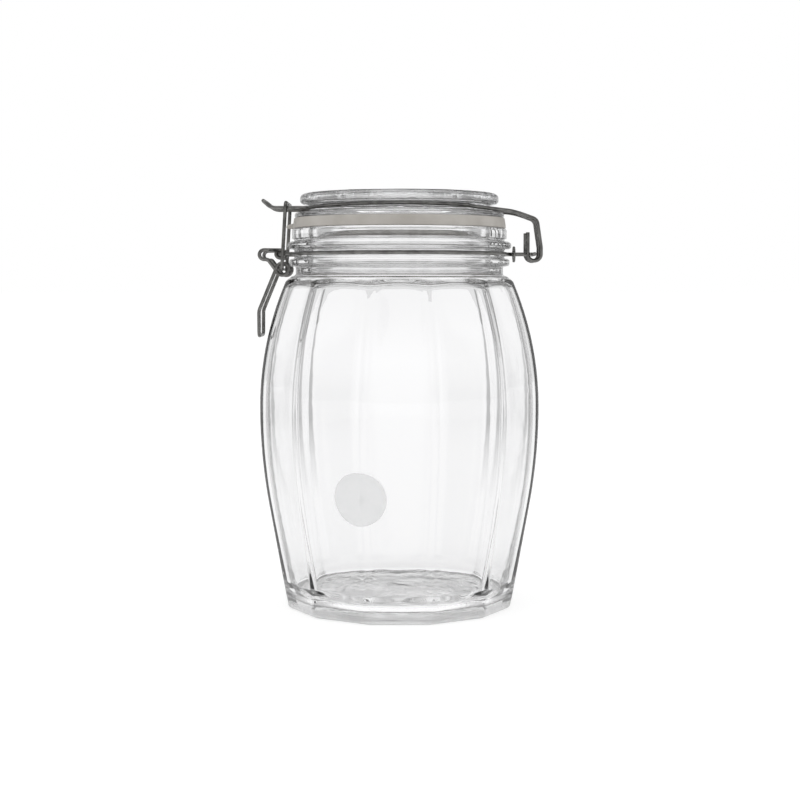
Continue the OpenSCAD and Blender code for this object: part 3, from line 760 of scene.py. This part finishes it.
wear(jar, glass("jar_pressed_glass", 60.0, 0.00008, 2.0, True))
wear(lid, glass("lid_pressed_glass", 110.0, 0.0003, 4.0))
wear(seal, rubber("taupe_seal_rubber"))
wear(label, film("frosted_film"))
steel_wire = drawn_wire("drawn_steel")
for piece in (neck_wire, lid_wire, lever, link, tie):
    wear(piece, steel_wire)


# ---- surroundings and floor ----
def gaps(calc, xyz):
    """1 in the dark gaps between the soft boxes, which stand in a ring round
    the object with two gaps to each eighth of a turn, and 0 elsewhere."""
    gap_at, gap_half = 15, 4.5
    azimuth = calc("ARCTAN2", xyz["Y"], xyz["X"])
    off = calc("PINGPONG", azimuth, math.pi / 8)
    off = calc("ABSOLUTE", calc("SUBTRACT", off, math.radians(gap_at)))
    edge = calc("SUBTRACT", math.radians(gap_half + 1), off)
    return calc("MULTIPLY", edge, 1 / math.radians(2), True)


def studio_world():
    """White behind the object and soft light on it. Its glass and steel show
    a white sweep with dark gaps, a grey ceiling and a bright panel overhead."""
    gap_depth, ceiling_from, ceiling_depth, panel_from = 0.7, 0.34, 0.5, 0.90
    world = bpy.data.worlds.new("studio")
    world.use_nodes = True
    nodes, links = world.node_tree.nodes, world.node_tree.links
    nodes.clear()
    calc = calculator(nodes, links)

    def background(grey, strength):
        node = nodes.new("ShaderNodeBackground")
        node.inputs["Color"].default_value = (grey, grey, grey, 1)
        if isinstance(strength, float):
            node.inputs["Strength"].default_value = strength
        else:
            links.new(strength, node.inputs["Strength"])
        return node.outputs[0]

    def either(choice, first, second):
        node = nodes.new("ShaderNodeMixShader")
        links.new(choice, node.inputs["Fac"])
        links.new(first, node.inputs[1])
        links.new(second, node.inputs[2])
        return node.outputs[0]

    split = nodes.new("ShaderNodeSeparateXYZ")
    links.new(nodes.new("ShaderNodeTexCoord").outputs["Generated"], split.inputs[0])
    height = split.outputs["Z"]
    ceiling = calc("MULTIPLY", calc("SUBTRACT", height, ceiling_from), 3.4, True)
    panel = calc("MULTIPLY", calc("SUBTRACT", height, panel_from), 18.0, True)
    dark = calc("MAXIMUM", calc("MULTIPLY", gaps(calc, split.outputs), gap_depth),
                calc("MULTIPLY", ceiling, ceiling_depth))
    dark = calc("MULTIPLY", dark, calc("SUBTRACT", 1.0, panel))
    path = nodes.new("ShaderNodeLightPath").outputs
    looks = calc("MAXIMUM", path["Is Glossy Ray"], path["Is Transmission Ray"])
    lit = either(looks, background(0.8, 0.85), background(0.8, calc("SUBTRACT", 1.0, dark)))
    shown = either(path["Is Camera Ray"], lit, background(1.0, 1.0))
    out = nodes.new("ShaderNodeOutputWorld")
    links.new(shown, out.inputs["Surface"])
    return world


def pale_floor():
    """Pale matt floor that takes the object's shadow. Through the glass it
    shows painted dark gaps further out, a grey painted shadow under the jar with pale patches of painted
    caustic light, and a ring of painted caustic light round the foot."""
    side, below = 60, 0.0002
    camera_glow, through_glow, far_glow = 0.69, 0.55, 0.10
    gap_depth, shade_depth, painted_caustic_glow = 0.5, 0.42, 0.34
    shade_r, foot_r = 0.038, 0.058
    bpy.ops.mesh.primitive_plane_add(size=side, location=(0, 0, -below))
    floor = bpy.context.object
    floor.name = "floor"
    m, nodes, links, shader = material("pale_floor")
    nodes.remove(shader)
    calc = calculator(nodes, links)
    place = nodes.new("ShaderNodeTexCoord").outputs["Object"]
    xyz = nodes.new("ShaderNodeSeparateXYZ")
    links.new(place, xyz.inputs[0])
    length = nodes.new("ShaderNodeVectorMath")
    length.operation = "LENGTH"
    links.new(place, length.inputs[0])
    distance = length.outputs["Value"]
    far = calc("MULTIPLY", calc("SUBTRACT", distance, 0.35), 1.6, True)
    wide = calc("MULTIPLY", calc("SUBTRACT", distance, 0.3), 0.5, True)
    # Painted shadow: for all but camera rays the floor is darker within shade_r of the axis, under the jar.
    under = calc("MULTIPLY", calc("SUBTRACT", shade_r, distance), 150.0, True)
    # Painted caustic light: for all but camera rays the floor is brighter within foot_r of the axis, round
    # the foot.
    near = calc("MULTIPLY", calc("SUBTRACT", foot_r, distance), 150.0, True)
    # Pale noise patches of painted caustic light, which break up the painted shadow under the jar.
    painted_caustic_streaks = calc("MULTIPLY", calc("SUBTRACT", noise(nodes, links, place, 75.0, 2.0), 0.44), 6.0, True)
    shade = calc("SUBTRACT", shade_depth, calc("MULTIPLY", painted_caustic_streaks, shade_depth))
    through = calc("ADD", calc("MULTIPLY", wide, far_glow), through_glow)
    # Painted dark gaps: for all but camera rays the floor beyond 0.35 m is darker where the soft boxes'
    # gaps stand.
    gap = calc("MULTIPLY", gaps(calc, xyz.outputs), far)
    through = calc("SUBTRACT", through, calc("MULTIPLY", gap, gap_depth))
    through = calc("SUBTRACT", through, calc("MULTIPLY", under, shade))
    through = calc("ADD", through, calc("MULTIPLY", near, painted_caustic_glow))
    seen = nodes.new("ShaderNodeLightPath").outputs["Is Camera Ray"]
    to_camera = calc("MULTIPLY", calc("SUBTRACT", camera_glow, through), seen)
    glow = nodes.new("ShaderNodeEmission")
    links.new(calc("ADD", through, to_camera), glow.inputs["Strength"])
    matt = nodes.new("ShaderNodeBsdfDiffuse")
    matt.inputs["Color"].default_value = (0.5, 0.5, 0.5, 1)
    add = nodes.new("ShaderNodeAddShader")
    links.new(matt.outputs[0], add.inputs[0])
    links.new(glow.outputs[0], add.inputs[1])
    links.new(add.outputs[0], nodes["Material Output"].inputs["Surface"])
    floor.data.materials.append(m)
    return floor


scene = bpy.context.scene
scene.view_settings.view_transform = "Standard"
scene.world = studio_world()
floor = pale_floor()


# ---- lamps and camera ----
def lamp(name, place, power):
    """Large square soft box overhead, turned to the jar."""
    side, target = 1.6, (0, 0, 0.1)
    data = bpy.data.lights.new(name, "AREA")
    data.shape = "RECTANGLE"
    data.size, data.size_y = side, side
    data.energy = power
    obj = bpy.data.objects.new(name, data)
    scene.collection.objects.link(obj)
    obj.location = place
    obj.rotation_euler = (Vector(target) - Vector(place)).to_track_quat("-Z", "Y").to_euler()


lamp("key", (-1.1, -0.8, 2.5), 11.0)
lamp("fill", (1.2, -0.4, 2.3), 7.0)

CAMERA_AT, CAMERA_DOWN = (0.0003, -0.740, 0.1504), math.radians(2.0)
camera = bpy.data.objects.new("camera", bpy.data.cameras.new("camera"))
scene.collection.objects.link(camera)
camera.data.lens = 70.35
camera.data.shift_y = -0.0746
camera.data.sensor_width = 36.0
camera.data.clip_start = 0.01
camera.location = CAMERA_AT
camera.rotation_euler = (math.pi / 2 - CAMERA_DOWN, 0, 0)
scene.camera = camera

bpy.context.view_layer.update()
